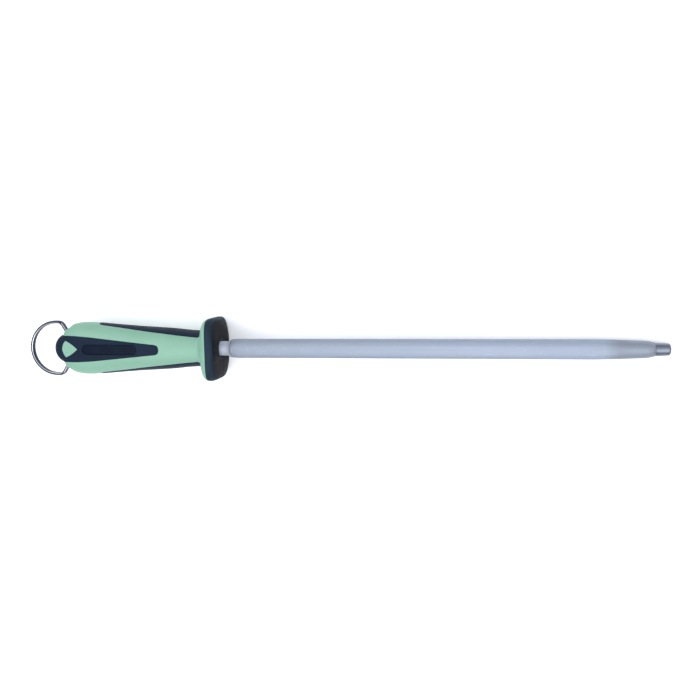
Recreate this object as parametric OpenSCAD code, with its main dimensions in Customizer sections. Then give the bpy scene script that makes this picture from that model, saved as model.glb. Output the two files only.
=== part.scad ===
// Butcher's knife sharpening steel: a round fine-cut rod in a moulded handle with soft grips,
// with a square guard and a swinging hanging ring.
// Millimetres. +X runs along the rod to its tip, +Y across the handle's width, and +Z out of the
// handle's label face. The origin is on the rod's axis, where the rod reaches its full diameter.
// The sub-parts are drawn from the seat on the guard's front, and placed() moves them to that origin.

/* [Rod] */
// Length of steel from the guard's seat to the tip
rod_length = 300; // [250:5:360]
// Diameter of the fine-cut rod
rod_d = 13.5; // [11:0.1:16]
// Diameter of the bare neck between the guard and the rod
neck_d = 10; // [8:0.1:10.5]
// Length of the bare neck in front of the guard
neck_length = 6.5; // [4:0.5:12]
// Length of the smooth polished nose
nose_length = 10; // [6:0.5:14]
// Diameter of the nose where the cut ends
nose_d = 8.8; // [8:0.1:9.4]
// Length over which the rod tapers before the nose
taper_length = 40; // [30:1:60]

/* [Tang] */
// Reach of the tang behind the guard's seat
tang_reach = 90; // [60:1:98]
// Diameter of the tang
tang_d = 8; // [7:0.1:9]
// Number of retaining grooves in the tang
groove_count = 3; // [2:1:4]

/* [Handle] */
// Length of the handle, from the guard's seat to the butt
handle_length = 123.8; // [123.2:0.1:124.4]
// Thickness of the soft black grips over the hard core
grip_depth = 2; // [1.5:0.1:2.2]
// Half width of the black label panel where it wraps round the butt
panel_half = 9.6; // [9:0.1:9.8]
// Depth of the blank label recess
label_depth = 0.6; // [0.3:0.1:0.9]

/* [Guard] */
// Width of the square guard across its flats
guard_w = 43.2; // [40:0.2:48]
// Roundness of the guard's outline, 2 for a circle and more for a squarer one
guard_square = 5.2; // [3:0.1:6]
// Distance behind the seat at which the black cover meets the coloured flange
cover_depth = 5.8; // [5:0.1:6.5]

/* [Ring] */
// Thickness of the ring's flat wire, in the ring's plane
wire_t = 2.4; // [2.2:0.1:2.6]
// Width of the ring's flat wire, across the ring's plane
wire_w = 4.6; // [4.2:0.1:4.7]
// Diameter of the ring's round ends
pin_d = 3; // [2.6:0.1:3.2]
// Radius of the ring's bow, to the wire's centre
bow_r = 18.7; // [18.4:0.1:19]
// Distance from the guard's seat to the ring's pivot
pivot_x = 114.3; // [114:0.1:114.6]

/* [Hidden] */
$fn = 64;

// Colours
steel_grey = [0.66, 0.70, 0.78];
bright_steel = [0.80, 0.82, 0.86];
mint_green = [0.58, 0.78, 0.67];
soft_black = [0.15, 0.17, 0.21];

// Where the rod reaches its full diameter, past a short step and a shoulder
neck_step = 1.5;
shoulder_length = 6;
shoulder_drop = 0.35;
full_start = neck_length + neck_step + shoulder_length;

// Butt of the handle: a round nose of radius butt_r between two shoulders
butt_x = -handle_length;
butt_r = 10.8;
butt_depth = 8.8;
butt_half_t = 8.2;
// Half width and half thickness of the handle behind the butt's nose, as [distance from the seat, half]
half_widths = [[-116.5, 10.2], [-115.7, 12.2], [-114.8, 14.3], [-113.5, 15.5], [-111.3, 16.55], [-109, 17.4],
    [-106, 18.1], [-102, 18.6], [-97, 18.7], [-88, 18.15], [-75, 17], [-60, 15.8], [-45, 14.85],
    [-34, 14.1], [-21, 12.8], [-12, 12.4], [0, 12.4]];
half_heights = [[-115, 8.2], [-110, 9.2], [-105, 10.2], [-100, 11], [-90, 12], [-75, 12.8], [-60, 13.2],
    [-45, 13.4], [-30, 13.4], [-12, 13.3], [0, 13.3]];
section_power = 2.15;
ring_points = 36;
form_end = -7;
// Lengths over which the inset surface draws away from the skin, in width and in height
width_ease = [6, 18];
height_ease = 5;
// Spacing of the handle's stations, from the butt forwards
nose_end = 6;
shoulder_step = 0.85;
swell_step = 2.2;
grip_from = -100;
grip_step = 6.2;
grip_steps = 14;

// Taper of the rod to its nose: slow over most of its length, then rounding over at the end of the cut
taper_power = 1.45;
slow_share = 0.61;
end_share = 0.85;
cut_step = 0.17;
tip_r = 1.4;
nose_slim = 0.5;

// Locks of the tang: two flats, and grooves at an even pitch
flat_half = 3.2;
flat_end = -26;
groove_r = 2.6;
groove_w = 3;
first_groove = 10;
groove_pitch = 18;

// Guard: flare of the flange as [distance from the seat, radius], the fall of the domed front, and
// the countersink round the neck, whose cone runs on a little past the seat's face
flange_flare = [[-12.8, 12], [-12.3, 13], [-11.7, 14.4], [-11, 16.6], [-9.9, 19.2], [-8.5, 21.8],
    [-6.9, 24.6], [-5.6, 26.6]];
guard_start = -13.5;
guard_points = 60;
guard_reach = 30;
seat_r = 12;
dome_run = 15.6;
dome_fall = 3;
dome_power = 2.2;
sink_depth = 1.3;
sink_slope = 1.615;
sink_clear = 0.065;

// Plan of the label panel, as [x, half width], from the butt to the start of its round end
panel_taper = [[-126, panel_half], [-106, panel_half - 0.1], [-98, 9.05], [-92, 8.6], [-50, 4.25],
    [-45.3, 3.75]];
panel_end_r = 3.8;
panel_length = 41.5;
// Half height of the side grips, as [x, half height], and of the blunt nose they start with, as
// [distance from the start, half height]
side_taper = [[-86, 5], [-72, 6.2], [-51.5, 8.4], [-40, 9.3], [-31, 9.8], [-18, 10.2], [-13.9, 9.9]];
side_start = -89;
side_nose = [[0, 2.2], [0.8, 4.1]];
side_end = -12.4;
side_end_half = 9;
// Reach of the tall prisms that cut the skins out of the handle's form
zone_reach = 20;

// Label recess and the triangular colour mark
label_span = [-99.4, -57.6];
label_half = 3.75;
mark_tip = -102.8;
mark_base = -112.7;
mark_half = 5.9;
mark_bulge = 2.6;
mark_side_bulge = 0.65;

// Ring: the legs turn in at leg_angle to the pivot's axis
ring_x = -123.4;
corner_x = -121.7;
wire_trim = 0.05;
wire_tuck = 0.5;
corner_r = 4.4;
leg_angle = 31;
knuckle_r = 2.4;
pin_inner = 3.5;
pin_play = 0.06;
end_gap = 0.4;
// Flared mouth of the hole for a ring's end, as [distance from the rod's axis, radius]
mouth = [[8, 2.9], [16.5, 5.6]];

// ---- curves ----

// Smooth cubic curve through a table of [x, value]
function span_at(t, x, i = 0) = i >= len(t) - 2 || x < t[i + 1][0] ? i : span_at(t, x, i + 1);
function slope_at(t, i) =
    i == 0 ? (t[1][1] - t[0][1]) / (t[1][0] - t[0][0])
    : i == len(t) - 1 ? (t[i][1] - t[i - 1][1]) / (t[i][0] - t[i - 1][0])
    : (t[i + 1][1] - t[i - 1][1]) / (t[i + 1][0] - t[i - 1][0]);
function curve(t, x) =
    let (i = span_at(t, x), h = t[i + 1][0] - t[i][0], u = (x - t[i][0]) / h)
    (2 * u^3 - 3 * u^2 + 1) * t[i][1] + (u^3 - 2 * u^2 + u) * h * slope_at(t, i)
    + (3 * u^2 - 2 * u^3) * t[i + 1][1] + (u^3 - u^2) * h * slope_at(t, i + 1);
function ease(u) = let (c = min(1, max(0, u))) c * c * (3 - 2 * c);

// Half width and half height of the handle at x
function half_width(x) =
    x <= half_widths[0][0]
        ? sqrt(max(0, butt_r^2 - (x - butt_x - butt_r)^2))
        : curve(half_widths, x);
function half_height(x) =
    x <= butt_x + butt_depth
        ? butt_half_t * sqrt(max(0, 1 - ((x - butt_x - butt_depth) / butt_depth)^2))
        : curve(half_heights, x);

// The same two, for the surface that lies inset inside the handle's skin
function inset_width(x, inset) =
    half_width(x - inset) - inset * ease((x - butt_x - width_ease[0]) / (width_ease[1] - width_ease[0]));
function inset_height(x, inset) =
    half_height(x - inset) - inset * ease((x - butt_x - inset) / height_ease);

// One cross-section of the handle
function signed_power(v, p) = sign(v) * pow(abs(v), p);
function section(x, inset) = [
    for (i = [0:ring_points - 1])
        let (a = 360 * i / ring_points)
        [x, inset_width(x, inset) * signed_power(cos(a), 2 / section_power),
            inset_height(x, inset) * signed_power(sin(a), 2 / section_power)]
];

// Stations of the loft: close together round the nose and the shoulders, wider along the grip
function stations(inset) = concat(
    [for (i = [1:5]) butt_x + inset + nose_end * (1 - cos(18 * i))],
    [for (i = [1:5]) butt_x + inset + nose_end + i * shoulder_step],
    [for (i = [1:5]) butt_x + inset + nose_end + 5 * shoulder_step + i * swell_step],
    [for (i = [0:grip_steps]) grip_from + i * grip_step + inset * (1 - i / grip_steps)],
    [form_end]
);

// ---- shared shapes ----

// The outside of the handle's grip, or the surface that lies inset inside it
module handle_form(inset = 0) {
    x = stations(inset);
    rings = [for (s = x) section(s, inset)];
    points = concat([[butt_x + inset, 0, 0]], [for (r = rings) each r]);
    last = 1 + (len(x) - 1) * ring_points;
    faces = concat(
        [for (i = [0:ring_points - 1]) [0, 1 + i, 1 + (i + 1) % ring_points]],
        [for (s = [0:len(x) - 2], i = [0:ring_points - 1])
            let (a = 1 + s * ring_points, j = (i + 1) % ring_points)
            [a + i, a + ring_points + i, a + ring_points + j, a + j]],
        [[for (i = [ring_points - 1:-1:0]) last + i]]
    );
    polyhedron(points, faces, convexity = 4);
}

// An outline mirrored about the X axis from its half
function both_halves(half) = concat(half, [for (i = [len(half) - 1:-1:0]) [half[i][0], -half[i][1]]]);

// Plan outline of the label panel
function panel_outline() =
    let (centre = panel_taper[len(panel_taper) - 1][0])
    both_halves(concat(
        panel_taper,
        [for (a = [75:-15:0]) [centre + panel_end_r * cos(a), panel_end_r * sin(a)]]
    ));

// Plan outline of the triangular colour mark, with bulged sides
function mark_outline() =
    let (length = mark_tip - mark_base,
        side = [for (u = [0:0.2:1])
            [mark_base + length * u, mark_half * (1 - u) + 4 * mark_side_bulge * u * (1 - u)]],
        base = [for (u = [-0.8:0.4:0.8]) [mark_base - mark_bulge * (1 - u * u), mark_half * u]])
    concat(base, side, [for (i = [len(side) - 2:-1:0]) [side[i][0], -side[i][1]]]);

module upright(outline, reach) {
    translate([0, 0, -reach]) linear_extrude(2 * reach) polygon(outline);
}

// The plan area that the black panel covers, without the colour mark
module panel_zone() {
    difference() {
        upright(panel_outline(), zone_reach);
        upright(mark_outline(), zone_reach + 1);
    }
}

// The area that one side grip covers, seen along Y
module side_zone(side) {
    outline = both_halves(concat(
        [for (p = side_nose) [side_start + p[0], p[1]]],
        side_taper,
        [[side_end, side_end_half]]
    ));
    rotate([90 * side, 0, 0])
        translate([0, 0, -zone_reach]) linear_extrude(zone_reach) polygon(outline);
}

// Stadium of the label recess, above the rod's axis
module label_zone() {
    ends = [label_span[1] - label_half, label_span[0] + label_half];
    outline = [for (e = [0, 1], a = [-90:20:90])
        [ends[e] + label_half * cos(a + 180 * e), label_half * sin(a + 180 * e)]];
    linear_extrude(zone_reach) polygon(outline);
}

// Moves a sub-part from the guard's seat to the origin
module placed() {
    translate([-full_start, 0, 0]) children();
}

// Makes one moulding of its children, to the size given, where 0 keeps the size as drawn
module moulded(size) {
    resize(size) union() children();
}

// Turns a profile of [x, radius] about the rod's axis
module turned(profile) {
    rotate([0, 90, 0])
        rotate_extrude()
            polygon([for (p = profile) [p[1], p[0]]]);
}

// Prism of the guard's rounded square outline, with a flat facet in the middle of each side
module guard_prism(from, to) {
    step = 360 / guard_points;
    reach = guard_w / 2 / pow(cos(step / 2), 2 / guard_square);
    outline = [for (i = [0:guard_points - 1])
        let (a = (i + 0.5) * step)
        reach * [signed_power(cos(a), 2 / guard_square), signed_power(sin(a), 2 / guard_square)]];
    translate([from, 0, 0]) rotate([90, 0, 90]) linear_extrude(to - from) polygon(outline);
}

// ---- sub-parts ----

// Half profile of the tang, from its end to the neck
tang_profile = [[-tang_reach, 0], [-tang_reach, tang_d / 2 - 1], [-tang_reach + 1, tang_d / 2],
    [-18, tang_d / 2], [-16, neck_d / 2]];

// Radius of the taper at u, the share of its length
function taper_r(u) =
    rod_d / 2 - (rod_d / 2 - nose_d / 2 - cut_step)
        * (slow_share * u^taper_power + (1 - slow_share) * max(0, (u - end_share) / (1 - end_share))^2);

// Half profile of the steel in front of the tang
function blade_profile() =
    let (taper_end = rod_length - nose_length,
        taper_start = taper_end - taper_length,
        lead = [for (u = [0:0.25:1])
            [full_start - shoulder_length * (1 - u), rod_d / 2 - shoulder_drop * (1 - u)^2]],
        ogive = [for (u = [0.15, 0.3, 0.45, 0.6, 0.75, 0.85, 0.9, 0.95, 1])
            [taper_start + taper_length * u, taper_r(u)]],
        nose_r = nose_d / 2 - nose_slim,
        tip = [for (a = [0:22.5:90])
            [rod_length - tip_r + tip_r * sin(a), nose_r - tip_r + tip_r * cos(a)]])
    concat([[neck_length, neck_d / 2]], lead, [[taper_start, rod_d / 2]], ogive,
        [[taper_end, nose_d / 2]], tip, [[rod_length, 0]]);

// Flats and grooves that lock the tang in the moulding
module tang_locks() {
    for (side = [-1, 1])
        translate([-tang_reach - 1, -tang_d, side > 0 ? flat_half : -flat_half - tang_d])
            cube([tang_reach + 1 + flat_end, 2 * tang_d, tang_d]);
    for (i = [0:groove_count - 1])
        translate([-tang_reach + first_groove + i * groove_pitch, 0, 0]) rotate([0, 90, 0])
            difference() {
                cylinder(r = tang_d, h = groove_w);
                translate([0, 0, -1]) cylinder(r = groove_r, h = groove_w + 2);
            }
}

module sharpening_rod() {
    color(steel_grey)
        difference() {
            turned(concat(tang_profile, blade_profile()));
            tang_locks();
        }
}

// The space that the tang fills, running out through the seat
module tang_space() {
    difference() {
        turned(concat(tang_profile, [[1, neck_d / 2], [1, 0]]));
        tang_locks();
    }
}

// Blind hole and flared mouth for one end of the ring, on the side given
module ring_socket(side) {
    translate([-pivot_x, 0, 0]) rotate([-90 * side, 0, 0]) {
        translate([0, 0, pin_inner - end_gap])
            cylinder(r = pin_d / 2 + pin_play, h = mouth[1][0] - pin_inner);
        translate([0, 0, mouth[0][0]])
            cylinder(r1 = mouth[0][1], r2 = mouth[1][1], h = mouth[1][0] - mouth[0][0]);
    }
}

// Coloured flange of the guard, flared out of the grip
module guard_flange() {
    intersection() {
        guard_prism(guard_start, -cover_depth);
        turned(concat([[flange_flare[0][0], 0]], [for (p = flange_flare) if (p[0] < -cover_depth) p],
            [[-cover_depth, guard_reach], [-cover_depth, 0]]));
    }
}

module handle_core() {
    color(mint_green)
        difference() {
            moulded([0, guard_w, 0]) {
                handle_form(grip_depth);
                difference() {
                    union() {
                        handle_form();
                        guard_flange();
                    }
                    panel_zone();
                    side_zone(1);
                    side_zone(-1);
                }
            }
            tang_space();
            ring_socket(1);
            ring_socket(-1);
        }
}

module label_panel() {
    color(soft_black)
        difference() {
            moulded([handle_length - panel_length, 0, 0])
                difference() {
                    intersection() {
                        handle_form();
                        panel_zone();
                    }
                    handle_form(grip_depth);
                    difference() {
                        label_zone();
                        handle_form(label_depth);
                    }
                }
            ring_socket(1);
            ring_socket(-1);
        }
}

module side_grip(side) {
    color(soft_black)
        moulded([side_end - side_start, 0, 0])
            difference() {
                intersection() {
                    handle_form();
                    side_zone(side);
                }
                handle_form(grip_depth);
            }
}

module left_side_grip() {
    side_grip(1);
}

module right_side_grip() {
    side_grip(-1);
}

// Soft front of the guard, domed round a flat seat
module guard_cover() {
    dome = [for (i = [1:8])
        let (r = seat_r + i * (guard_reach - seat_r) / 8)
        [-dome_fall * ((r - seat_r) / dome_run)^dome_power, r]];
    color(soft_black)
        difference() {
            intersection() {
                guard_prism(-cover_depth, 1);
                turned(concat([[-cover_depth, 0], [0, 0], [0, seat_r]], dome, [[-cover_depth, guard_reach]]));
            }
            tang_space();
            turned([[-sink_depth, 0], [-sink_depth, neck_d / 2],
                [sink_clear, neck_d / 2 + sink_slope * (sink_depth + sink_clear)], [sink_clear, 0]]);
        }
}

// Section of the flat wire with its rounded edges, thinner all round by trim
module wire_section(trim = 0) {
    half_flat = (wire_w - wire_t) / 2;
    for (side = [-1, 1])
        translate([0, side * half_flat]) circle(d = wire_t - 2 * trim);
    translate([-wire_t / 2 + trim, -half_flat]) square([wire_t - 2 * trim, 2 * half_flat]);
}

// One stretch of wire bent about a centre, from angle a through sweep
module bent_wire(centre, r, a, sweep) {
    translate([centre[0], centre[1], 0])
        rotate([0, 0, a])
            rotate_extrude(angle = sweep)
                translate([r, 0]) wire_section();
}

// One straight stretch, a hair thinner, tucked into the bends at its two ends
module straight_wire(from, to) {
    along = (to - from) / norm(to - from);
    start = from - wire_tuck * along;
    translate([start[0], start[1], 0])
        rotate([0, 90, atan2(along[1], along[0])])
            linear_extrude(norm(to - from) + 2 * wire_tuck) rotate(90) wire_section(wire_trim);
}

// Corner, leg and round end of the ring on the +Y side
module ring_end() {
    corner = [corner_x, bow_r - corner_r];
    leg_top = corner + corner_r * [cos(leg_angle), sin(leg_angle)];
    leg = [sin(leg_angle), -cos(leg_angle)];
    knuckle = leg_top + leg * (-pivot_x - leg_top[0]) / sin(leg_angle);
    straight_wire([ring_x, bow_r], [corner_x, bow_r]);
    bent_wire(corner, corner_r, leg_angle, 90 - leg_angle);
    straight_wire(leg_top, knuckle);
    translate([knuckle[0], knuckle[1], 0]) {
        sphere(r = knuckle_r);
        rotate([90, 0, 0]) cylinder(d = pin_d, h = knuckle[1] - pin_inner);
    }
}

module hanging_ring() {
    color(bright_steel) {
        bent_wire([ring_x, 0], bow_r, 90, 180);
        ring_end();
        mirror([0, 1, 0]) ring_end();
    }
}

placed() sharpening_rod();
placed() handle_core();
placed() label_panel();
placed() left_side_grip();
placed() right_side_grip();
placed() guard_cover();
placed() hanging_ring();
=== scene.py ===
import math

import bmesh
import bpy
import numpy as np
from mathutils import Matrix, Vector


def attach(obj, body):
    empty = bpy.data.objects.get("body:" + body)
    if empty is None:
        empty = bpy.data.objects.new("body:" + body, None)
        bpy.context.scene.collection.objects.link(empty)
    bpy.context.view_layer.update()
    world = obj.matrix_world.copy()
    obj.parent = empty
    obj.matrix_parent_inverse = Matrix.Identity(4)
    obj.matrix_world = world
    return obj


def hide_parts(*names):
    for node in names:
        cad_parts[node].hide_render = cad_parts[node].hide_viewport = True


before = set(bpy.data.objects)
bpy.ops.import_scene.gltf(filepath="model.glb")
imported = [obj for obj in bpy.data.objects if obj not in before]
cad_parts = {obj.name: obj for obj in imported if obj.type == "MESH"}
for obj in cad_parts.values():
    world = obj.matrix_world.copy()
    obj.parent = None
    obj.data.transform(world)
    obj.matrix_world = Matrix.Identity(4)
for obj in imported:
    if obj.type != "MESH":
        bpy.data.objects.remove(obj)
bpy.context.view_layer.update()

MM = 0.001
ORIGIN_FROM_SEAT = 14.0

# Handle, as in the CAD model
BUTT_X, BUTT_R = -123.8, 10.8
BUTT_DEPTH, BUTT_HALF_T = 8.8, 8.2
SECTION_POWER = 2.15
HALF_WIDTHS = [(-116.5, 10.2), (-115.7, 12.2), (-114.8, 14.3), (-113.5, 15.5), (-111.3, 16.55), (-109, 17.4),
               (-106, 18.1), (-102, 18.6), (-97, 18.7), (-88, 18.15), (-75, 17), (-60, 15.8), (-45, 14.85),
               (-34, 14.1), (-21, 12.8), (-12, 12.4), (0, 12.4)]
HALF_HEIGHTS = [(-115, 8.2), (-110, 9.2), (-105, 10.2), (-100, 11), (-90, 12), (-75, 12.8), (-60, 13.2),
                (-45, 13.4), (-30, 13.4), (-12, 13.3), (0, 13.3)]
FILLET_START, FILLET_END, FILLET_RISE = -14.8, -11.6, 1.5
FORM_END = -9.0

# Label panel and its parts
PANEL_TAPER = [(-126, 9.6), (-106, 9.5), (-98, 9.05), (-92, 8.6), (-50, 4.25), (-45.3, 3.8)]
PANEL_END_X, PANEL_END_R = -45.3, 3.8
PANEL_BUTT_X = -112.0
LABEL_X, LABEL_HALF, LABEL_DEPTH, LABEL_WALL = (-99.4, -57.6), 3.75, 0.8, 0.45
MARK_BASE, MARK_TIP, MARK_HALF, MARK_BULGE, MARK_SIDE_BULGE = -112.8, -102.7, 6.0, 2.7, 0.7

# Side grips
GRIP_TAPER = [(-89, 4.4), (-86, 5), (-72, 6.3), (-51.5, 8.4), (-40, 9.3), (-31, 9.8), (-18, 10.2),
              (-11.7, 10.6)]
GRIP_START, GRIP_END = -89.0, -11.7
GRIP_NOSE = 3.2

# Soft skins stand a hair proud of the hard core, with rolled edges, and reach down into it
PROUD, EDGE_ROLL, SKIN_DEPTH, POCKET_DEPTH, POCKET_EDGE = 0.12, 0.4, 2.0, 1.5, 0.75
MARK_PROUD = 0.2

# Ring and its pivot
PIVOT_X = -114.3
BOW_X, BOW_R = -123.4, 18.7
CORNER_X, CORNER_R, LEG_ANGLE = -121.7, 4.4, 31.0
WIRE_T, WIRE_W, PIN_R, PIN_END = 2.4, 4.6, 1.5, 3.5
KNUCKLE_R, WIRE_POWER, FLAT_FROM, FLAT_RUN = 4.0, 2.7, 8.2, 3.5
MOUTH = [(0.0, 3.2), (1.56, 3.3), (1.7, 8.0), (2.9, 8.15), (5.6, 16.5)]

# Rod, and the tang inside the handle
ROD_R, NECK_R, ROD_LENGTH = 6.75, 5.0, 300.0
NECK_END, SHOULDER_END, SHOULDER_R, FULL_START = 6.3, 8.0, 6.45, 14.0
TAPER_START, CUT_END = 250.0, 290.0
TAPER_FALL, TAPER_POWER, END_FALL, END_SHARE = 1.33, 1.45, 0.85, 0.85
NOSE_R, NOSE_SLIM, TIP_R = 4.4, 0.45, 1.5
LIP = [(0.15, 0.08), (0.35, 0.0)]    # Step down to the nose: distance past the cut, height over the nose
CUT_COUNT, CUT_DEPTH, CUT_SAMPLES, CUT_RUN_IN, CUT_FADE, CUT_SHARP = 90, 0.09, 6, 2.5, 0.75, 1.4
TANG_REACH, TANG_R, TANG_END, FLAT_HALF, FLAT_END = 90.0, 4.0, -18.0, 3.2, -24.0
TANG_CHAMFER, TANG_CONE = 1.0, 2.0
GROOVES, FIRST_GROOVE, GROOVE_PITCH, GROOVE_R, GROOVE_W = 3, 10.0, 18.0, 2.6, 3.0

# Guard: rounded square of half width GUARD_HALF
GUARD_HALF, GUARD_POWER = 21.6, 5.2
COVER_DEPTH, RIM_ROLL, RIM_WALL = 5.8, 2.0, 0.5
SEAT_R, DOME_RUN, DOME_FALL, DOME_POWER = 12.0, 15.6, 3.0, 2.2
ROUND_SHARE, SQUARE_SHARE = 0.35, 0.8
SINK_R, SINK_DEPTH, SINK_LIP, BORE_GAP = 7.1, 1.4, 0.35, 0.02
SEAM = -14.0
FLANGE = [(-12.9, 12.2), (-12.1, 13.2), (-11.6, 14.2), (-11.1, 15.4), (-10.5, 16.7), (-9.7, 18.2),
          (-8.8, 19.5), (-7.8, 20.6), (-6.9, 21.2), (-6.3, 21.45), (-5.95, 21.4), (-5.75, 21.2)]


# ---------------------------------------------------------------- curves and surfaces

def curve(points, x):
    """Smooth curve through the points, the same one as in the CAD model."""
    px, py = np.array(points, float).T
    x = np.clip(x, px[0], px[-1])
    slope = np.empty(len(px))
    slope[0] = (py[1] - py[0]) / (px[1] - px[0])
    slope[-1] = (py[-1] - py[-2]) / (px[-1] - px[-2])
    slope[1:-1] = (py[2:] - py[:-2]) / (px[2:] - px[:-2])
    i = np.clip(np.searchsorted(px, x, side="right") - 1, 0, len(px) - 2)
    h = px[i + 1] - px[i]
    u = (x - px[i]) / h
    return ((2 * u**3 - 3 * u**2 + 1) * py[i] + (u**3 - 2 * u**2 + u) * h * slope[i]
            + (3 * u**2 - 2 * u**3) * py[i + 1] + (u**3 - u**2) * h * slope[i + 1])


def ease(u):
    """Smooth step from 0 to 1 as u goes from 0 to 1."""
    u = np.clip(u, 0, 1)
    return u * u * (3 - 2 * u)


def signed_power(v, p):
    """Power of the size of v, with the sign of v."""
    return np.sign(v) * np.abs(v) ** p


def fillet(x):
    """How far the handle's skin flares where it runs into the guard."""
    return FILLET_RISE * np.clip((x - FILLET_START) / (FILLET_END - FILLET_START), 0, 1) ** 2


def half_width(x):
    """Half the handle's width at x."""
    nose = np.sqrt(np.maximum(0, BUTT_R**2 - (x - BUTT_X - BUTT_R) ** 2))
    return np.where(x <= HALF_WIDTHS[0][0], nose, curve(HALF_WIDTHS, x)) + fillet(x)


def half_height(x):
    """Half the handle's thickness at x."""
    nose = BUTT_HALF_T * np.sqrt(np.maximum(0, 1 - ((x - BUTT_X - BUTT_DEPTH) / BUTT_DEPTH) ** 2))
    return np.where(x <= BUTT_X + BUTT_DEPTH, nose, curve(HALF_HEIGHTS, x)) + fillet(x)


def rest_of(v, half):
    """The other coordinate's share of its half, on the superellipse section."""
    share = np.minimum(1, np.abs(v) / np.maximum(half, 1e-6))
    return (1 - share**SECTION_POWER) ** (1 / SECTION_POWER)


def skin_normal(p):
    """Outward normals of the handle's skin at points p."""
    x, y, z = p[..., 0], p[..., 1], p[..., 2]

    def level(at):
        w, h = np.maximum(half_width(at), 0.05), np.maximum(half_height(at), 0.05)
        return (np.abs(y) / w) ** SECTION_POWER + (np.abs(z) / h) ** SECTION_POWER

    step = 0.02
    w, h = np.maximum(half_width(x), 0.05), np.maximum(half_height(x), 0.05)
    k = SECTION_POWER
    n = np.stack([(level(x + step) - level(x - step)) / (2 * step),
                  k * signed_power(y, k - 1) / w**k,
                  k * signed_power(z, k - 1) / h**k], axis=-1)
    return n / np.maximum(np.linalg.norm(n, axis=-1, keepdims=True), 1e-9)


def edge_drop(inside):
    """How far a rolled edge falls below the skin, at a distance inside the outline."""
    short = np.clip(EDGE_ROLL - inside, 0, EDGE_ROLL)
    return EDGE_ROLL - np.sqrt(EDGE_ROLL**2 - short**2)


def crowded(count, crowd):
    """Shares from -1 to 1 that crowd together towards the two ends."""
    even = np.linspace(-1, 1, count)
    return (1 - crowd) * even + crowd * np.sin(even * math.pi / 2)


def panel_half(x):
    """Half the label panel's width at x."""
    return curve(PANEL_TAPER, x)


def grip_half(x):
    """Half a side grip's height at x, rounded off at its rear end."""
    nose = np.clip((x - GRIP_START) / GRIP_NOSE, 0, 1)
    return curve(GRIP_TAPER, x) * (1 - (1 - nose) ** 3) ** (1 / 3)


# ---------------------------------------------------------------- mesh helpers

def grid_faces(rows, cols, first=0, wrap=False):
    """Quads of a grid of points, whose columns join up if wrap is set."""
    last = cols if wrap else cols - 1
    r, c = np.meshgrid(np.arange(rows - 1), np.arange(last), indexing="ij")
    n = (c + 1) % cols
    quads = np.stack([r * cols + c, r * cols + n, (r + 1) * cols + n, (r + 1) * cols + c], axis=-1)
    return (quads.reshape(-1, 4) + first).tolist()


def tube(rings, cap_start=True, cap_end=True):
    """Closed skin over rings of points, as (points, faces)."""
    rows, cols = rings.shape[:2]
    faces = grid_faces(rows, cols, wrap=True)
    if cap_start:
        faces.append(list(range(cols)))
    if cap_end:
        faces.append(list(range((rows - 1) * cols, rows * cols)))
    return rings.reshape(-1, 3), faces


def shell(top, bottom):
    """Closed skin between two grids of the same shape, as (points, faces)."""
    rows, cols = top.shape[:2]
    below = rows * cols
    faces = grid_faces(rows, cols) + [f[::-1] for f in grid_faces(rows, cols, below)]
    rim = list(range(cols))
    rim += [r * cols + cols - 1 for r in range(1, rows)]
    rim += [(rows - 1) * cols + c for c in range(cols - 2, -1, -1)]
    rim += [r * cols for r in range(rows - 2, 0, -1)]
    for a, b in zip(rim, rim[1:] + rim[:1]):
        faces.append([b, a, a + below, b + below])
    return np.concatenate([top.reshape(-1, 3), bottom.reshape(-1, 3)]), faces


def mesh_piece(name, parts, material_list, pick=None):
    """One smooth-shaded piece from (points, faces) parts, in millimetres from the guard's seat."""
    points, faces = [], []
    for p, f in parts:
        first = sum(len(q) for q in points)
        points.append(p)
        faces += [[i + first for i in face] for face in f]
    points = np.concatenate(points)
    points[:, 0] -= ORIGIN_FROM_SEAT
    mesh = bpy.data.meshes.new(name)
    mesh.from_pydata((points * MM).tolist(), [], faces)
    bm = bmesh.new()
    bm.from_mesh(mesh)
    bmesh.ops.remove_doubles(bm, verts=bm.verts, dist=1e-7)
    bmesh.ops.dissolve_degenerate(bm, edges=bm.edges, dist=1e-7)
    bmesh.ops.recalc_face_normals(bm, faces=bm.faces)
    for face in bm.faces:
        face.smooth = True
        if pick:
            face.material_index = pick(face.calc_center_median() / MM)
    bm.to_mesh(mesh)
    bm.free()
    for m in material_list:
        mesh.materials.append(m)
    mesh.set_sharp_from_angle(angle=math.radians(50))
    piece = bpy.data.objects.new(name, mesh)
    bpy.context.scene.collection.objects.link(piece)
    return piece


def belongs(piece, body, node):
    """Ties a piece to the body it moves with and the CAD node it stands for."""
    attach(piece, body)
    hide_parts(node)


# ---------------------------------------------------------------- materials

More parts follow.
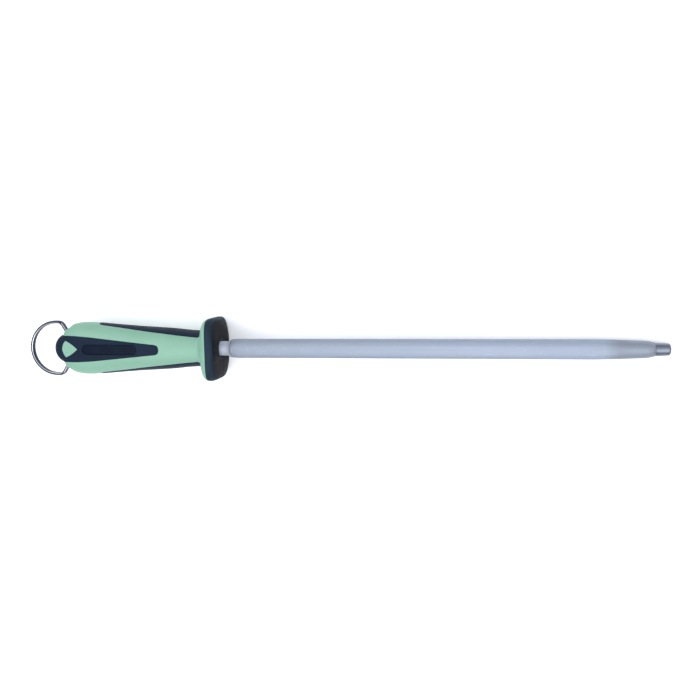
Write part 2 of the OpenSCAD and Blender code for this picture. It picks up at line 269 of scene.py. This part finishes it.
class Paint:
    """A material whose look is built from a few procedural layers, in object space."""

    def __init__(self, name, metallic):
        self.material = bpy.data.materials.new(name)
        self.material.use_nodes = True
        self.tree = self.material.node_tree
        self.shader = self.tree.nodes["Principled BSDF"]
        self.shader.inputs["Metallic"].default_value = metallic
        self.place = self.tree.nodes.new("ShaderNodeTexCoord").outputs["Object"]

    def link(self, a, b):
        self.tree.links.new(a, b)

    def noise(self, scale, detail=4.0, rough=0.6):
        """Noise with its own scale along X, Y and Z, in features per metre."""
        mapping = self.tree.nodes.new("ShaderNodeMapping")
        mapping.inputs["Scale"].default_value = scale
        self.link(self.place, mapping.inputs["Vector"])
        noise = self.tree.nodes.new("ShaderNodeTexNoise")
        noise.inputs["Scale"].default_value = 1.0
        noise.inputs["Detail"].default_value = detail
        noise.inputs["Roughness"].default_value = rough
        self.link(mapping.outputs["Vector"], noise.inputs["Vector"])
        return noise.outputs["Fac"]

    def spread(self, value, low, high, start=0.3, end=0.7):
        """Maps start..end of a value to low..high."""
        node = self.tree.nodes.new("ShaderNodeMapRange")
        node.inputs["From Min"].default_value = start
        node.inputs["From Max"].default_value = end
        node.inputs["To Min"].default_value = low
        node.inputs["To Max"].default_value = high
        self.link(value, node.inputs["Value"])
        return node.outputs["Result"]

    def times(self, a, b):
        node = self.tree.nodes.new("ShaderNodeMath")
        node.operation = "MULTIPLY"
        self.link(a, node.inputs[0])
        self.link(b, node.inputs[1])
        return node.outputs[0]

    def mix(self, amount, a, b):
        """Blend of two colours or colour sockets."""
        node = self.tree.nodes.new("ShaderNodeMix")
        node.data_type = "RGBA"
        self.link(amount, node.inputs["Factor"])
        for socket, value in ((node.inputs[6], a), (node.inputs[7], b)):
            if isinstance(value, tuple):
                socket.default_value = (*value, 1)
            else:
                self.link(value, socket)
        return node.outputs[2]

    def along(self, start, end):
        """0 to 1 between two places along the steel, in millimetres from the guard's seat."""
        split = self.tree.nodes.new("ShaderNodeSeparateXYZ")
        self.link(self.place, split.inputs["Vector"])
        start, end = (start - ORIGIN_FROM_SEAT) * MM, (end - ORIGIN_FROM_SEAT) * MM
        return self.spread(split.outputs["X"], 0, 1, start, end)

    def facing(self, axis):
        """How squarely the surface faces along one of the piece's own axes, either way."""
        node = self.tree.nodes.new("ShaderNodeTexCoord")
        split = self.tree.nodes.new("ShaderNodeSeparateXYZ")
        self.link(node.outputs["Normal"], split.inputs["Vector"])
        size = self.tree.nodes.new("ShaderNodeMath")
        size.operation = "ABSOLUTE"
        self.link(split.outputs[axis], size.inputs[0])
        return size.outputs[0]

    def reach(self, x):
        """Distance in metres from an upright axis through the steel's centre line at x."""
        node = self.tree.nodes.new("ShaderNodeVectorMath")
        node.operation = "SUBTRACT"
        self.link(self.place, node.inputs[0])
        node.inputs[1].default_value = ((x - ORIGIN_FROM_SEAT) * MM, 0, 0)
        plan = self.tree.nodes.new("ShaderNodeVectorMath")
        plan.operation = "MULTIPLY"
        self.link(node.outputs["Vector"], plan.inputs[0])
        plan.inputs[1].default_value = (1, 1, 0)
        length = self.tree.nodes.new("ShaderNodeVectorMath")
        length.operation = "LENGTH"
        self.link(plan.outputs["Vector"], length.inputs[0])
        return length.outputs["Value"]

    def color(self, socket):
        self.link(socket, self.shader.inputs["Base Color"])

    def roughness(self, socket):
        self.link(socket, self.shader.inputs["Roughness"])

    def bump(self, layers):
        """Chain of bumps, each (height socket, depth in millimetres, strength)."""
        previous = None
        for height, depth, strength in layers:
            node = self.tree.nodes.new("ShaderNodeBump")
            node.inputs["Distance"].default_value = depth * MM
            node.inputs["Strength"].default_value = strength
            self.link(height, node.inputs["Height"])
            if previous is not None:
                self.link(previous, node.inputs["Normal"])
            previous = node.outputs["Normal"]
        self.link(previous, self.shader.inputs["Normal"])


def cut_steel():
    """Hardened steel with a fine lengthwise cut: satin and streaked, with painted shade that makes it greyer
    towards its two ends.
    """
    dark, pale = (0.34, 0.385, 0.465), (0.4, 0.45, 0.54)
    shade_by_guard, shade_by_nose = (0.3, 0.335, 0.395), (0.275, 0.305, 0.355)
    patch, glint = (0.43, 0.485, 0.58), (0.7, 0.74, 0.82)
    paint = Paint("cut_steel", 0.85)
    streaks = paint.noise((5, 1500, 1500), 3.0)
    patches = paint.noise((28, 55, 55), 4.0)
    glints = paint.noise((240, 1900, 1900), 2.0, 0.7)
    tone = paint.mix(paint.spread(streaks, 0, 1), dark, pale)
    # painted shade: the steel turns darker towards the guard and towards the nose
    tone = paint.mix(paint.along(20, 180), shade_by_guard, tone)
    tone = paint.mix(paint.along(258, 268), tone, shade_by_nose)
    tone = paint.mix(paint.spread(patches, 0, 0.3), tone, patch)
    tone = paint.mix(paint.spread(glints, 0, 0.6, 0.66, 0.76), tone, glint)
    paint.color(tone)
    paint.roughness(paint.spread(patches, 0.52, 0.64))
    paint.bump([(streaks, 0.03, 0.5), (glints, 0.01, 0.3)])
    return paint.material


def turned_steel():
    """Bare neck: smooth ground steel with faint rings."""
    dark, pale = (0.57, 0.62, 0.71), (0.66, 0.71, 0.79)
    paint = Paint("turned_steel", 0.5)
    rings = paint.noise((2600, 40, 40), 2.0)
    clouds = paint.noise((90, 120, 120), 4.0)
    paint.color(paint.mix(paint.spread(clouds, 0, 1), dark, pale))
    paint.roughness(paint.spread(rings, 0.54, 0.66))
    paint.bump([(rings, 0.01, 0.35)])
    return paint.material


def polished_steel():
    """Polished nose: hairline scratches and faint clouding, with painted shade that makes it darker on its
    sides.
    """
    painted_side_shade, bright = (0.19, 0.21, 0.26), (0.24, 0.265, 0.32)
    cloudy = tuple(0.75 * c for c in bright)
    paint = Paint("polished_nose", 1.0)
    clouds = paint.noise((160, 160, 160), 5.0)
    hairlines = paint.noise((400, 2600, 900), 3.0, 0.75)
    face = paint.mix(paint.spread(clouds, 0, 1), cloudy, bright)
    # painted shade: darker where the surface faces sideways rather than up or down
    paint.color(paint.mix(paint.spread(paint.facing("Z"), 0, 1, 0.84, 0.99), painted_side_shade, face))
    paint.roughness(paint.spread(paint.times(clouds, hairlines), 0.34, 0.46, 0.15, 0.4))
    paint.bump([(hairlines, 0.004, 0.25)])
    return paint.material


def ring_steel():
    """Flat steel wire: painted dark reflection all over, and a painted highlight along the rounded edges
    inside its bow.
    """
    dark, dim_reflection, painted_highlight = (0.03, 0.033, 0.048), (0.05, 0.054, 0.072), (0.84, 0.86, 0.9)
    paint = Paint("polished_ring", 1.0)
    clouds = paint.noise((160, 160, 160), 5.0)
    hairlines = paint.noise((400, 2600, 900), 3.0, 0.75)
    # painted reflection: the dark tones stand for dark surroundings reflected in the steel
    tone = paint.mix(paint.spread(clouds, 0, 1), dark, dim_reflection)
    facing = paint.facing("Z")
    edge = paint.times(paint.spread(facing, 0, 1, 0.5, 0.75), paint.spread(facing, 1, 0, 0.88, 0.97))
    inside = paint.spread(paint.reach(BOW_X), 1, 0, (BOW_R - 0.3) * MM, (BOW_R + 0.1) * MM)
    # painted highlight: a bright band on the rounded edges inside the bow
    paint.color(paint.mix(paint.times(edge, inside), tone, painted_highlight))
    paint.roughness(paint.spread(hairlines, 0.14, 0.26))
    paint.bump([(hairlines, 0.004, 0.25)])
    return paint.material


def green_plastic():
    """Mint green hard plastic: fine moulded grain, slight mottling and scuffs."""
    dark, pale, scuffed = (0.18, 0.356, 0.258), (0.21, 0.395, 0.29), (0.36, 0.56, 0.45)
    paint = Paint("green_plastic", 0.0)
    mottle = paint.noise((45, 70, 70), 5.0)
    scuffs = paint.noise((60, 700, 700), 3.0, 0.7)
    grain = paint.noise((2600, 2600, 2600), 2.0)
    tone = paint.mix(paint.spread(mottle, 0, 1), dark, pale)
    paint.color(paint.mix(paint.spread(scuffs, 0, 0.04, 0.6, 0.8), tone, scuffed))
    paint.roughness(paint.spread(mottle, 0.4, 0.54))
    paint.bump([(grain, 0.03, 0.3), (scuffs, 0.01, 0.3)])
    return paint.material


def soft_black(name, side, front, shine):
    """Soft-touch navy black: matt grain, faint bloom, pale specks, and a darker front tone on faces that look
    along the steel, which is painted shade.
    """
    shaded, speck = tuple(0.65 * c for c in side), (0.13, 0.14, 0.15)
    paint = Paint(name, 0.0)
    bloom = paint.noise((40, 80, 80), 5.0)
    dust = paint.noise((900, 900, 900), 1.0, 0.4)
    grain = paint.noise((3200, 3200, 3200), 2.0, 0.7)
    tone = paint.mix(paint.spread(bloom, 0, 1), shaded, side)
    # painted shade: faces that look along the steel, either way, take the darker front tone
    tone = paint.mix(paint.spread(paint.facing("X"), 0, 1, 0.9, 1.0), tone, front)
    paint.color(paint.mix(paint.spread(dust, 0, 0.3, 0.74, 0.8), tone, speck))
    paint.roughness(paint.spread(bloom, 0.46, 0.62))
    paint.bump([(grain, 0.05, 0.35)])
    paint.shader.inputs["Specular IOR Level"].default_value = shine
    return paint.material


def label_field():
    """Floor of the blank label recess: smoother black with faint scratches, darkened with painted shade."""
    dark, pale = (0.001, 0.005, 0.014), (0.003, 0.008, 0.021)
    paint = Paint("label_field", 0.0)
    scratches = paint.noise((90, 1400, 1400), 3.0, 0.7)
    clouds = paint.noise((120, 160, 160), 4.0)
    # painted shade: the recess floor is darker than the panel round it
    paint.color(paint.mix(paint.spread(clouds, 0, 1), dark, pale))
    paint.roughness(paint.spread(scratches, 0.34, 0.5))
    paint.bump([(scratches, 0.01, 0.3)])
    paint.shader.inputs["Specular IOR Level"].default_value = 0.07
    return paint.material


# ---------------------------------------------------------------- rod

def taper_r(u):
    """Radius of the tapered end, at a share u of its length."""
    return ROD_R - TAPER_FALL * u**TAPER_POWER - END_FALL * max(0, (u - END_SHARE) / (1 - END_SHARE)) ** 2


def tang_profile():
    """Stations of the tang, as (x, radius): a chamfered end, the retaining grooves and a cone to the neck."""
    hair = 0.01
    rows = [(-TANG_REACH, hair), (-TANG_REACH, TANG_R - TANG_CHAMFER), (TANG_CHAMFER - TANG_REACH, TANG_R)]
    for i in range(GROOVES):
        start = FIRST_GROOVE - TANG_REACH + GROOVE_PITCH * i
        end = start + GROOVE_W
        rows += [(start, TANG_R), (start + hair, GROOVE_R), (end - hair, GROOVE_R), (end, TANG_R)]
    return rows + [(FLAT_END, TANG_R), (TANG_END, TANG_R), (TANG_END + TANG_CONE, NECK_R)]


def rod_profile():
    """Stations of the steel as (x, radius, how deep the cut is there)."""
    neck = [(x, NECK_R) for x in np.linspace(TANG_END + 2 * TANG_CONE, NECK_END - 0.4, 8)]
    run, rise = SHOULDER_END - NECK_END, SHOULDER_R - NECK_R
    shoulder = [(SHOULDER_END - run * math.cos(a), NECK_R + rise * math.sin(a))
                for a in np.radians(np.linspace(15, 90, 6))]
    lead = [(FULL_START - (FULL_START - SHOULDER_END) * (1 - u), ROD_R - (ROD_R - SHOULDER_R) * (1 - u) ** 2)
            for u in np.linspace(0, 1, 7)[1:]]
    straight = [(x, ROD_R) for x in np.linspace(FULL_START, TAPER_START, 60)[1:]]
    taper = [(TAPER_START + (CUT_END - TAPER_START) * u, taper_r(u)) for u in np.linspace(0, 1, 60)[1:]]
    lip = [(CUT_END + past, NOSE_R + rise) for past, rise in LIP]
    nose = [(x, NOSE_R - NOSE_SLIM * (x - CUT_END) / (ROD_LENGTH - CUT_END))
            for x in np.linspace(CUT_END + 1, ROD_LENGTH - TIP_R, 8)]
    end_r = nose[-1][1] - TIP_R
    tip = [(ROD_LENGTH - TIP_R + TIP_R * math.sin(a), end_r + TIP_R * math.cos(a))
           for a in np.radians(np.linspace(9, 90, 9))]
    rows = [(x, r, 0) for x, r in tang_profile() + neck + shoulder[:3]]
    cut_from = shoulder[3][0]
    for x, r in shoulder[3:] + lead + straight + taper:
        faded = CUT_FADE * ease((x - TAPER_START) / (CUT_END - TAPER_START))
        rows.append((x, r, float(ease((x - cut_from) / CUT_RUN_IN) * (1 - faded))))
    return rows + [(x, r, 0) for x, r in lip + nose + tip + [(ROD_LENGTH, 0.05)]]


def sharpening_rod():
    """The steel in one piece: cut rod, turned neck, polished nose, and the tang with its two flats."""
    turned_to, nose_from = SHOULDER_END - 1, CUT_END + 0.1
    rows = rod_profile()
    x = np.array([r[0] for r in rows])[:, None]
    radius = np.array([r[1] for r in rows])[:, None]
    cut = np.array([r[2] for r in rows])[:, None]
    around = np.arange(CUT_COUNT * CUT_SAMPLES)
    angle = 2 * math.pi * around / len(around)
    valley = (0.5 - 0.5 * np.cos(CUT_COUNT * angle)) ** CUT_SHARP
    r = radius - cut * CUT_DEPTH * valley[None]
    y, z = r * np.cos(angle), r * np.sin(angle)
    z = np.where(x < FLAT_END, np.clip(z, -FLAT_HALF, FLAT_HALF), z)
    points = np.stack([np.broadcast_to(x, y.shape), y, z], axis=-1)

    def pick(centre):
        at = centre.x + ORIGIN_FROM_SEAT
        if at < turned_to:
            return 1
        return 2 if at > nose_from else 0

    steels = [cut_steel(), turned_steel(), polished_steel()]
    return mesh_piece("steel_rod", [tube(points)], steels, pick)


# ---------------------------------------------------------------- handle

def stations():
    """Stations of the handle's skin: close at the butt, wider along the grip."""
    nose_end, shoulder_end, grip_end = BUTT_X + 6, -104.0, -16.0
    nose = BUTT_X + (nose_end - BUTT_X) * (1 - np.cos(np.radians(np.linspace(4, 90, 30))))
    shoulder = np.linspace(nose_end, shoulder_end, 51)[1:]
    grip = np.linspace(shoulder_end, grip_end, 111)[1:]
    flare = np.linspace(grip_end, FILLET_END, 15)[1:]
    return np.concatenate([nose, shoulder, grip, flare, [FORM_END]])


def core_skin():
    """The hard core's grip: pocketed under the soft skins, with a flared hole each side for the ring."""
    x = stations()[:, None]
    angle = np.radians(np.arange(360))[None]
    y = half_width(x) * signed_power(np.cos(angle), 2 / SECTION_POWER)
    z = half_height(x) * signed_power(np.sin(angle), 2 / SECTION_POWER)
    p = np.stack([np.broadcast_to(x, y.shape), y, z], axis=-1)
    under_panel = np.minimum(panel_half(x) - np.abs(y), PANEL_END_X + PANEL_END_R - x)
    under_grip = np.minimum(np.minimum(grip_half(x) - np.abs(z), x - GRIP_START), SEAM - x)
    covered = np.maximum(under_panel, under_grip)
    p = p - skin_normal(p) * (POCKET_DEPTH * ease((covered - POCKET_EDGE) / POCKET_EDGE))[..., None]
    reach = np.hypot(x - PIVOT_X, z)
    depth = np.interp(reach, *np.array(MOUTH).T)
    near = (reach < MOUTH[-1][0]) & (np.abs(y) > depth)
    p[..., 1] = np.where(near, np.sign(y) * depth, p[..., 1])
    return tube(p)


def squircle(x, half, power, count=240, tall=1.0):
    """A ring of points round the guard, in the plane at x."""
    angle = np.radians((np.arange(count) + 0.5) * 360 / count)
    return np.stack([np.full(count, float(x)),
                     half * signed_power(np.cos(angle), 2 / power),
                     half * tall * signed_power(np.sin(angle), 2 / power)], axis=-1)


def flange_skin():
    """Rear half of the guard: flares out of the grip's section into the guard's squarer one."""
    start, full, tall_start, rim_x = 12.8, GUARD_HALF - 0.7, 0.07, -6.3
    flare, rim = np.linspace(FLANGE[0][0], rim_x, 60), np.linspace(rim_x + 0.1, FLANGE[-1][0], 5)
    rings = []
    for x in np.concatenate([flare, rim]):
        half = float(curve(FLANGE, x))
        square = float(ease((half - start) / (full - start)))
        power = SECTION_POWER + (GUARD_POWER - SECTION_POWER) * square
        rings.append(squircle(x, half, power, tall=1 + tall_start * (1 - square)))
    return tube(np.array(rings))


def mark_outline():
    """The triangular colour mark, with bulged sides and rounded corners."""
    count, rounding_passes = 60, 5
    u = np.linspace(0, 1, count)
    side_x = MARK_BASE + (MARK_TIP - MARK_BASE) * u
    side_y = MARK_HALF * (1 - u) + 4 * MARK_SIDE_BULGE * u * (1 - u)
    v = np.linspace(-1, 1, count)[1:-1]
    base = np.stack([MARK_BASE - MARK_BULGE * (1 - v * v), MARK_HALF * v], axis=-1)
    side = np.stack([side_x, side_y], axis=-1)
    outline = np.concatenate([base, side, (side * [1, -1])[::-1][1:]])
    for _ in range(rounding_passes):
        outline = (np.roll(outline, 1, 0) + 2 * outline + np.roll(outline, -1, 0)) / 4
    return outline


def colour_mark(face):
    """Boss of the core that shows through the label panel, on the front (1) or back (-1) face."""
    outline = mark_outline()
    middle = outline.mean(0)
    shares = np.concatenate([np.linspace(0.02, 0.85, 12), np.linspace(0.87, 1, 14)])
    x = middle[0] + (outline[:, 0] - middle[0]) * shares[:, None]
    y = middle[1] + (outline[:, 1] - middle[1]) * shares[:, None]
    z = face * half_height(x) * rest_of(y, half_width(x))
    p = np.stack([x, y, z], axis=-1)
    gap = np.linalg.norm(outline - middle, axis=-1) * (1 - shares[:, None])
    normal = skin_normal(p)
    top = p + normal * (MARK_PROUD - edge_drop(gap))[..., None]
    wall = p[-1:] - normal[-1:] * SKIN_DEPTH
    return tube(np.concatenate([top, wall]))


def handle_core():
    """The hard green moulding: grip, flange and the two colour marks."""
    marks = [colour_mark(1), colour_mark(-1)]
    return mesh_piece("green_core", [core_skin(), flange_skin(), *marks], [green_plastic()])


def panel_rows():
    """Rows of the label panel round the handle, as (angle round the butt, x, face), closer on the front."""
    end = PANEL_END_X + PANEL_END_R * np.cos(np.radians(np.linspace(0, 90, 16)))
    body = np.linspace(PANEL_END_X, PANEL_BUTT_X, 330)[1:]
    bend = np.linspace(90, 0, 40)[1:]
    front = [(None, x, 1) for x in np.concatenate([end, body])] + [(a, None, 1) for a in bend]
    return front + [(a, x, -1) for a, x, _ in front[-2::-2]]


def label_panel(black):
    """The soft panel over the front, round the butt and over the back, with its sunken blank field."""
    across = crowded(85, 0.45)
    straight = (LABEL_X[1] - LABEL_X[0]) / 2 - LABEL_HALF
    top, bottom = [], []
    for bend, x, face in panel_rows():
        if bend is None:
            past = x - PANEL_END_X
            half = math.sqrt(max(PANEL_END_R**2 - past**2, 1e-6)) if past > 0 else float(panel_half(x))
            y = across * half
            at = np.full_like(y, x)
            inside = half - np.abs(y) if past <= 0 else PANEL_END_R - np.hypot(y, past)
        else:
            half = float(panel_half(PANEL_BUTT_X))
            y = across * half
            edge = BUTT_X + BUTT_R - np.sqrt(BUTT_R**2 - y**2)
            at = edge + (PANEL_BUTT_X - edge) * (1 - math.cos(math.radians(bend)))
            inside = half - np.abs(y)
        z = face * half_height(at) * rest_of(y, half_width(at))
        p = np.stack([at, y, z], axis=-1)
        normal = skin_normal(p)
        beyond = np.maximum(0, np.abs(at - sum(LABEL_X) / 2) - straight)
        sunk = LABEL_DEPTH * ease((LABEL_HALF - np.hypot(y, beyond)) / LABEL_WALL) * (face > 0)
        top.append(p + normal * (PROUD - edge_drop(inside) - sunk)[:, None])
        bottom.append(p - normal * SKIN_DEPTH)

    def pick(centre):
        beyond = max(0, abs(centre.x + ORIGIN_FROM_SEAT - sum(LABEL_X) / 2) - straight)
        return int(centre.z > 0 and math.hypot(centre.y, beyond) < LABEL_HALF - LABEL_WALL / 2)

    skin = shell(np.array(top), np.array(bottom))
    return mesh_piece("label_skin", [skin], [black, label_field()], pick)


def side_grip(name, side, black):
    """One side grip, on the +Y (1) or -Y (-1) side."""
    nose = GRIP_START + GRIP_NOSE * (1 - np.cos(np.radians(np.linspace(3, 90, 20))))
    x = np.concatenate([nose, np.linspace(nose[-1], GRIP_END, 201)[1:]])[:, None]
    half = grip_half(x)
    z = crowded(65, 0.5)[None] * half
    y = side * half_width(x) * rest_of(z, half_height(x))
    p = np.stack([np.broadcast_to(x, z.shape), y, z], axis=-1)
    normal = skin_normal(p)
    inside = np.minimum(half - np.abs(z), x - GRIP_START)
    top = p + normal * (PROUD - edge_drop(inside))[..., None]
    return mesh_piece(name, [shell(top, p - normal * SKIN_DEPTH)], [black])


def front_ring(share):
    """A ring of points on the guard's domed front, at a share of the way out to its rim."""
    power = 2 + (GUARD_POWER - 2) * float(ease((share - ROUND_SHARE) / (SQUARE_SHARE - ROUND_SHARE)))
    ring = squircle(0, GUARD_HALF * share, power)
    r = np.hypot(ring[:, 1], ring[:, 2])
    short = max(0, RIM_ROLL - GUARD_HALF * (1 - share))
    roll = RIM_ROLL - math.sqrt(RIM_ROLL**2 - short**2)
    ring[:, 0] = -DOME_FALL * (np.maximum(0, r - SEAT_R) / DOME_RUN) ** DOME_POWER - roll
    return ring


def guard_cover():
    """Soft front of the guard: rolled rim, domed face, flat seat and countersink round the neck."""
    bore = NECK_R + BORE_GAP
    floor_out, floor_down = 0.25, 0.3
    back = [squircle(-COVER_DEPTH, half, 2 + (GUARD_POWER - 2) * square)
            for half, square in ((bore, 0), (SEAT_R, 0.3), (GUARD_HALF - RIM_WALL, 1))]
    turn = [squircle(RIM_WALL * (1 - math.cos(a)) - COVER_DEPTH, GUARD_HALF - RIM_WALL * (1 - math.sin(a)),
                     GUARD_POWER) for a in np.radians((30, 60))]
    rim = front_ring(1)
    foot = rim.copy()
    foot[:, 0] = RIM_WALL - COVER_DEPTH
    wall = [foot + (rim - foot) * u for u in np.linspace(0, 1, 10)]
    inner = (SINK_R + SINK_LIP) / GUARD_HALF
    shares = 1 - (1 - inner) * (1 - np.cos(np.radians(np.linspace(0, 90, 50)[1:])))
    face = [front_ring(share) for share in shares]
    lip = [squircle(SINK_LIP / 2 * (math.cos(a) - 1), SINK_R + SINK_LIP * (1 - math.sin(a)), 2)
           for a in np.radians((30, 60, 90))]
    sink = [squircle(-SINK_LIP, SINK_R - SINK_LIP, 2), squircle(-SINK_DEPTH, bore + floor_out, 2),
            squircle(-SINK_DEPTH - floor_down, bore, 2)]
    rings = back + turn + wall + face + lip + sink
    rings.append(rings[0])
    points, faces = tube(np.array(rings), cap_start=False, cap_end=False)
    # the second tone is painted shade on faces that look along the steel
    black = soft_black("guard_black", (0.02, 0.036, 0.056), (0.003, 0.0035, 0.005), 0.05)
    return mesh_piece("guard_front", [(points, faces)], [black])


# ---------------------------------------------------------------- ring

def arc(centre, r, start, end, count):
    """Points on an arc, between two angles in degrees."""
    a = np.radians(np.linspace(start, end, count))
    return [(centre[0] + r * math.cos(t), centre[1] + r * math.sin(t)) for t in a]


def ring_path():
    """Centre line of the ring in plan, from one pin's end round to the other's."""
    corner = (CORNER_X, BOW_R - CORNER_R)
    turn = math.radians(LEG_ANGLE)
    leg_top = (corner[0] + CORNER_R * math.cos(turn), corner[1] + CORNER_R * math.sin(turn))
    run = (PIVOT_X - leg_top[0]) / math.sin(turn)
    knuckle_y = leg_top[1] - run * math.cos(turn)
    tangent = KNUCKLE_R * math.tan(turn / 2)
    bend = (PIVOT_X - KNUCKLE_R, knuckle_y - tangent)
    half = [(PIVOT_X, y) for y in np.linspace(PIN_END, bend[1], 8)]
    half += arc(bend, KNUCKLE_R, 0, LEG_ANGLE, 12)[1:]
    leg_foot = half[-1]
    half += [(leg_foot[0] + (leg_top[0] - leg_foot[0]) * u, leg_foot[1] + (leg_top[1] - leg_foot[1]) * u)
             for u in np.linspace(0, 1, 8)[1:]]
    half += arc(corner, CORNER_R, LEG_ANGLE, 90, 20)[1:]
    half += arc((BOW_X, 0), BOW_R, 90, 180, 70)
    return np.array(half + [(x, -y) for x, y in half[-2::-1]])


def hanging_ring():
    """Flat wire swept along the ring's path, turning round towards the two pins."""
    path = ring_path()
    along = np.gradient(path, axis=0)
    along /= np.linalg.norm(along, axis=1, keepdims=True)
    across = np.stack([-along[:, 1], along[:, 0]], axis=-1)
    angle = np.radians(np.arange(0, 360, 9))
    rings = []
    for centre, out in zip(path, across):
        on_bow = centre[0] < BOW_X
        flat = 1.0 if on_bow else float(ease((abs(centre[1]) - FLAT_FROM) / FLAT_RUN))
        power = 2 + (WIRE_POWER - 2) * flat
        t = PIN_R + (WIRE_T / 2 - PIN_R) * flat
        w = PIN_R + (WIRE_W / 2 - PIN_R) * flat
        u = t * signed_power(np.cos(angle), 2 / power)
        z = w * signed_power(np.sin(angle), 2 / power)
        rings.append(np.stack([centre[0] + out[0] * u, centre[1] + out[1] * u, z], axis=-1))
    return mesh_piece("ring_wire", [tube(np.array(rings))], [ring_steel()])


# ---------------------------------------------------------------- stage, light and camera

def floor():
    """Pale table, faintly lit from within: it touches the guard's edge and the rod near its tip."""
    guard_x, guard_z = -4.0, -21.8
    rod_x, rod_z = 285.0, -5.8
    slope = math.atan2(rod_z - guard_z, rod_x - guard_x)
    half = 12.0
    corners = [(-half, -half, 0), (half, -half, 0), (half, half, 0), (-half, half, 0)]
    mesh = bpy.data.meshes.new("floor")
    mesh.from_pydata(corners, [], [(0, 1, 2, 3)])
    ground = bpy.data.objects.new("floor", mesh)
    bpy.context.scene.collection.objects.link(ground)
    ground.rotation_euler = (0, -slope, 0)
    ground.location = ((guard_x - ORIGIN_FROM_SEAT) * MM, 0, guard_z * MM)
    paint = Paint("pale_floor", 0.0)
    clouds = paint.noise((3, 3, 3), 3.0)
    paint.color(paint.mix(paint.spread(clouds, 0, 1), (0.94, 0.94, 0.94), (0.97, 0.97, 0.97)))
    paint.shader.inputs["Roughness"].default_value = 0.7
    paint.shader.inputs["Emission Color"].default_value = (1, 1, 1, 1)
    paint.shader.inputs["Emission Strength"].default_value = 0.2
    mesh.materials.append(paint.material)


def soft_light(name, place, target, size, power):
    """A rectangular softbox, in metres and watts, turned towards a target."""
    light = bpy.data.lights.new(name, "AREA")
    light.shape = "RECTANGLE"
    light.size, light.size_y = size
    light.energy = power
    lamp = bpy.data.objects.new(name, light)
    bpy.context.scene.collection.objects.link(lamp)
    lamp.location = place
    lamp.rotation_euler = (Vector(target) - Vector(place)).to_track_quat("-Z", "Y").to_euler()


def studio():
    """Soft tent of light: grey round the horizon and brightest overhead."""
    world = bpy.data.worlds.new("studio")
    bpy.context.scene.world = world
    bpy.context.scene.view_settings.view_transform = "Standard"
    world.use_nodes = True
    tree = world.node_tree
    coords = tree.nodes.new("ShaderNodeTexCoord")
    split = tree.nodes.new("ShaderNodeSeparateXYZ")
    ramp = tree.nodes.new("ShaderNodeValToRGB")
    stops = [(0.0, (0.3, 0.31, 0.33)), (0.25, (0.34, 0.35, 0.38)), (0.5, (0.65, 0.69, 0.76)),
             (0.8, (1.08, 1.13, 1.22)), (1.0, (1.18, 1.23, 1.33))]
    for _ in stops[2:]:
        ramp.color_ramp.elements.new(0.5)
    for element, (position, color) in zip(ramp.color_ramp.elements, stops):
        element.position = position
        element.color = (*color, 1)
    tree.links.new(coords.outputs["Generated"], split.inputs["Vector"])
    tree.links.new(split.outputs["Z"], ramp.inputs["Fac"])
    tree.links.new(ramp.outputs["Color"], tree.nodes["Background"].inputs["Color"])
    soft_light("overhead_softbox", (-0.06, -0.28, 0.86), (-0.04, 0, 0), (1.4, 0.7), 6)
    soft_light("side_softbox", (-0.6, 0.4, 0.6), (0, 0, 0), (0.5, 0.5), 1.5)


def camera():
    """Camera from above, turned a little towards the tip and towards +Y."""
    yaw, pitch, roll = math.radians(9.3), math.radians(6.5), math.radians(-0.892)
    distance, sensor_mm, lens_mm = 0.6, 36.0, 45.185
    target = Vector(((90.68 - ORIGIN_FROM_SEAT) * MM, 0, 0))
    back = Vector((math.sin(yaw) * math.cos(pitch), math.sin(pitch), math.cos(yaw) * math.cos(pitch)))
    right = (-back).cross(Vector((0, 1, 0))).normalized()
    up = right.cross(-back)
    across = right * math.cos(roll) + up * math.sin(roll)
    upright = up * math.cos(roll) - right * math.sin(roll)
    data = bpy.data.cameras.new("camera")
    data.sensor_width = sensor_mm
    data.lens = lens_mm
    data.shift_y = -0.002
    data.clip_start = 0.01
    eye = bpy.data.objects.new("camera", data)
    bpy.context.scene.collection.objects.link(eye)
    turn = Matrix((across, upright, back)).transposed().to_4x4()
    eye.matrix_world = Matrix.Translation(target + back * distance) @ turn
    bpy.context.scene.camera = eye


# ---------------------------------------------------------------- assembly

belongs(sharpening_rod(), "steel", "sharpening_rod")
belongs(handle_core(), "steel", "handle_core")
# the second tone is painted shade on faces that look along the steel
grip_black = soft_black("soft_black", (0.009, 0.019, 0.039), (0.007, 0.015, 0.033), 0.09)
belongs(label_panel(grip_black), "steel", "label_panel")
belongs(side_grip("left_grip_skin", 1, grip_black), "steel", "left_side_grip")
belongs(side_grip("right_grip_skin", -1, grip_black), "steel", "right_side_grip")
belongs(guard_cover(), "steel", "guard_cover")
belongs(hanging_ring(), "ring", "hanging_ring")
floor()
studio()
camera()
